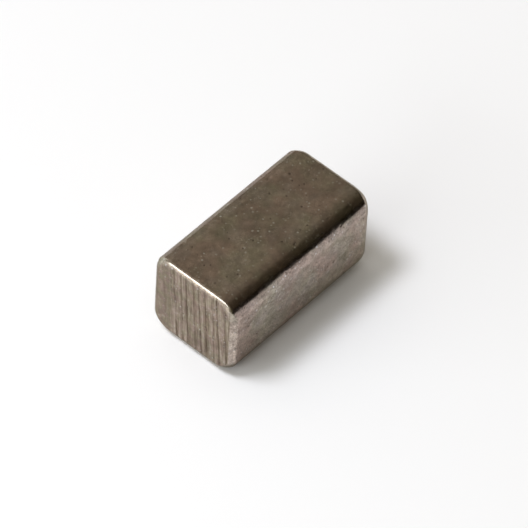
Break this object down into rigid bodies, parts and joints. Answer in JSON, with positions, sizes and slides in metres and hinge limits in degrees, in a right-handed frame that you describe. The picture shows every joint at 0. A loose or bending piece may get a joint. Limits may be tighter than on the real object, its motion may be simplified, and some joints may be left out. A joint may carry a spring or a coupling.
{
  "type": "parallel key",
  "caption": "Square parallel key of drawn steel with rounded edges and cut ends, which locks a hub to a shaft by filling matching slots.",
  "frame": {"origin": "middle of the face that seats in the shaft's slot", "axes": "+X along the key from one cut end to the other, +Y from one working side to the other, +Z from the seated face to the face under the hub"},
  "size_m": [0.0098, 0.005, 0.005],
  "materials": {
    "steel": "bare drawn key steel, tumbled: satin grey-brown sides with a faint sheen, worn bright at the edges, fine blade marks on the cut ends"
  },
  "bodies": {
    "root": {"parallel_key": "steel"}
  },
  "joints": []
}
